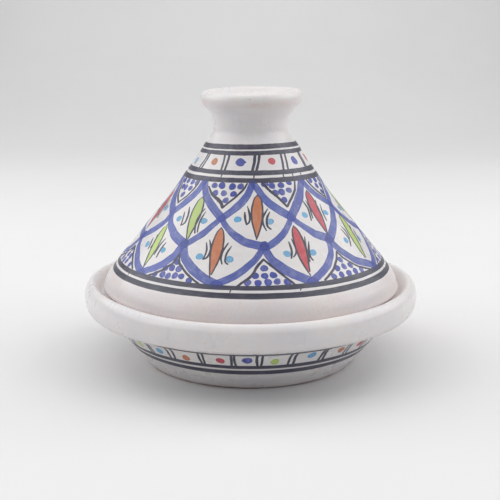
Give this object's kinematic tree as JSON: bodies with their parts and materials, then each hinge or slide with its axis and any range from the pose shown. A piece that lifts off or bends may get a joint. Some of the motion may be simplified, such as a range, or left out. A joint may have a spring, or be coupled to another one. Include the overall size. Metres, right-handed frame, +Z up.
{
  "type": "tagine pot",
  "caption": "Round glazed earthenware cooking dish with a rolled rim, and a tall conical lid with a cup-shaped knob that stands loose in the dish's inner gallery.",
  "frame": {"origin": "centre of the dish's foot, on the surface the pot stands on", "axes": "+Z up along the pot's axis, from the foot to the knob; +Y away from the painted side that faces front, +X to its right"},
  "size_m": [0.254, 0.254, 0.205],
  "materials": {
    "dish_glaze": "gloss",
    "lid_glaze": "gloss"
  },
  "bodies": {
    "dish": {"dish": "dish_glaze"},
    "lid": {"lid": "lid_glaze"}
  },
  "joints": [
    {"name": "lid_lift", "type": "slide", "parent": "dish", "child": "lid", "axis": [0, 0, 1], "range_m": [0, 0.11]}
  ]
}
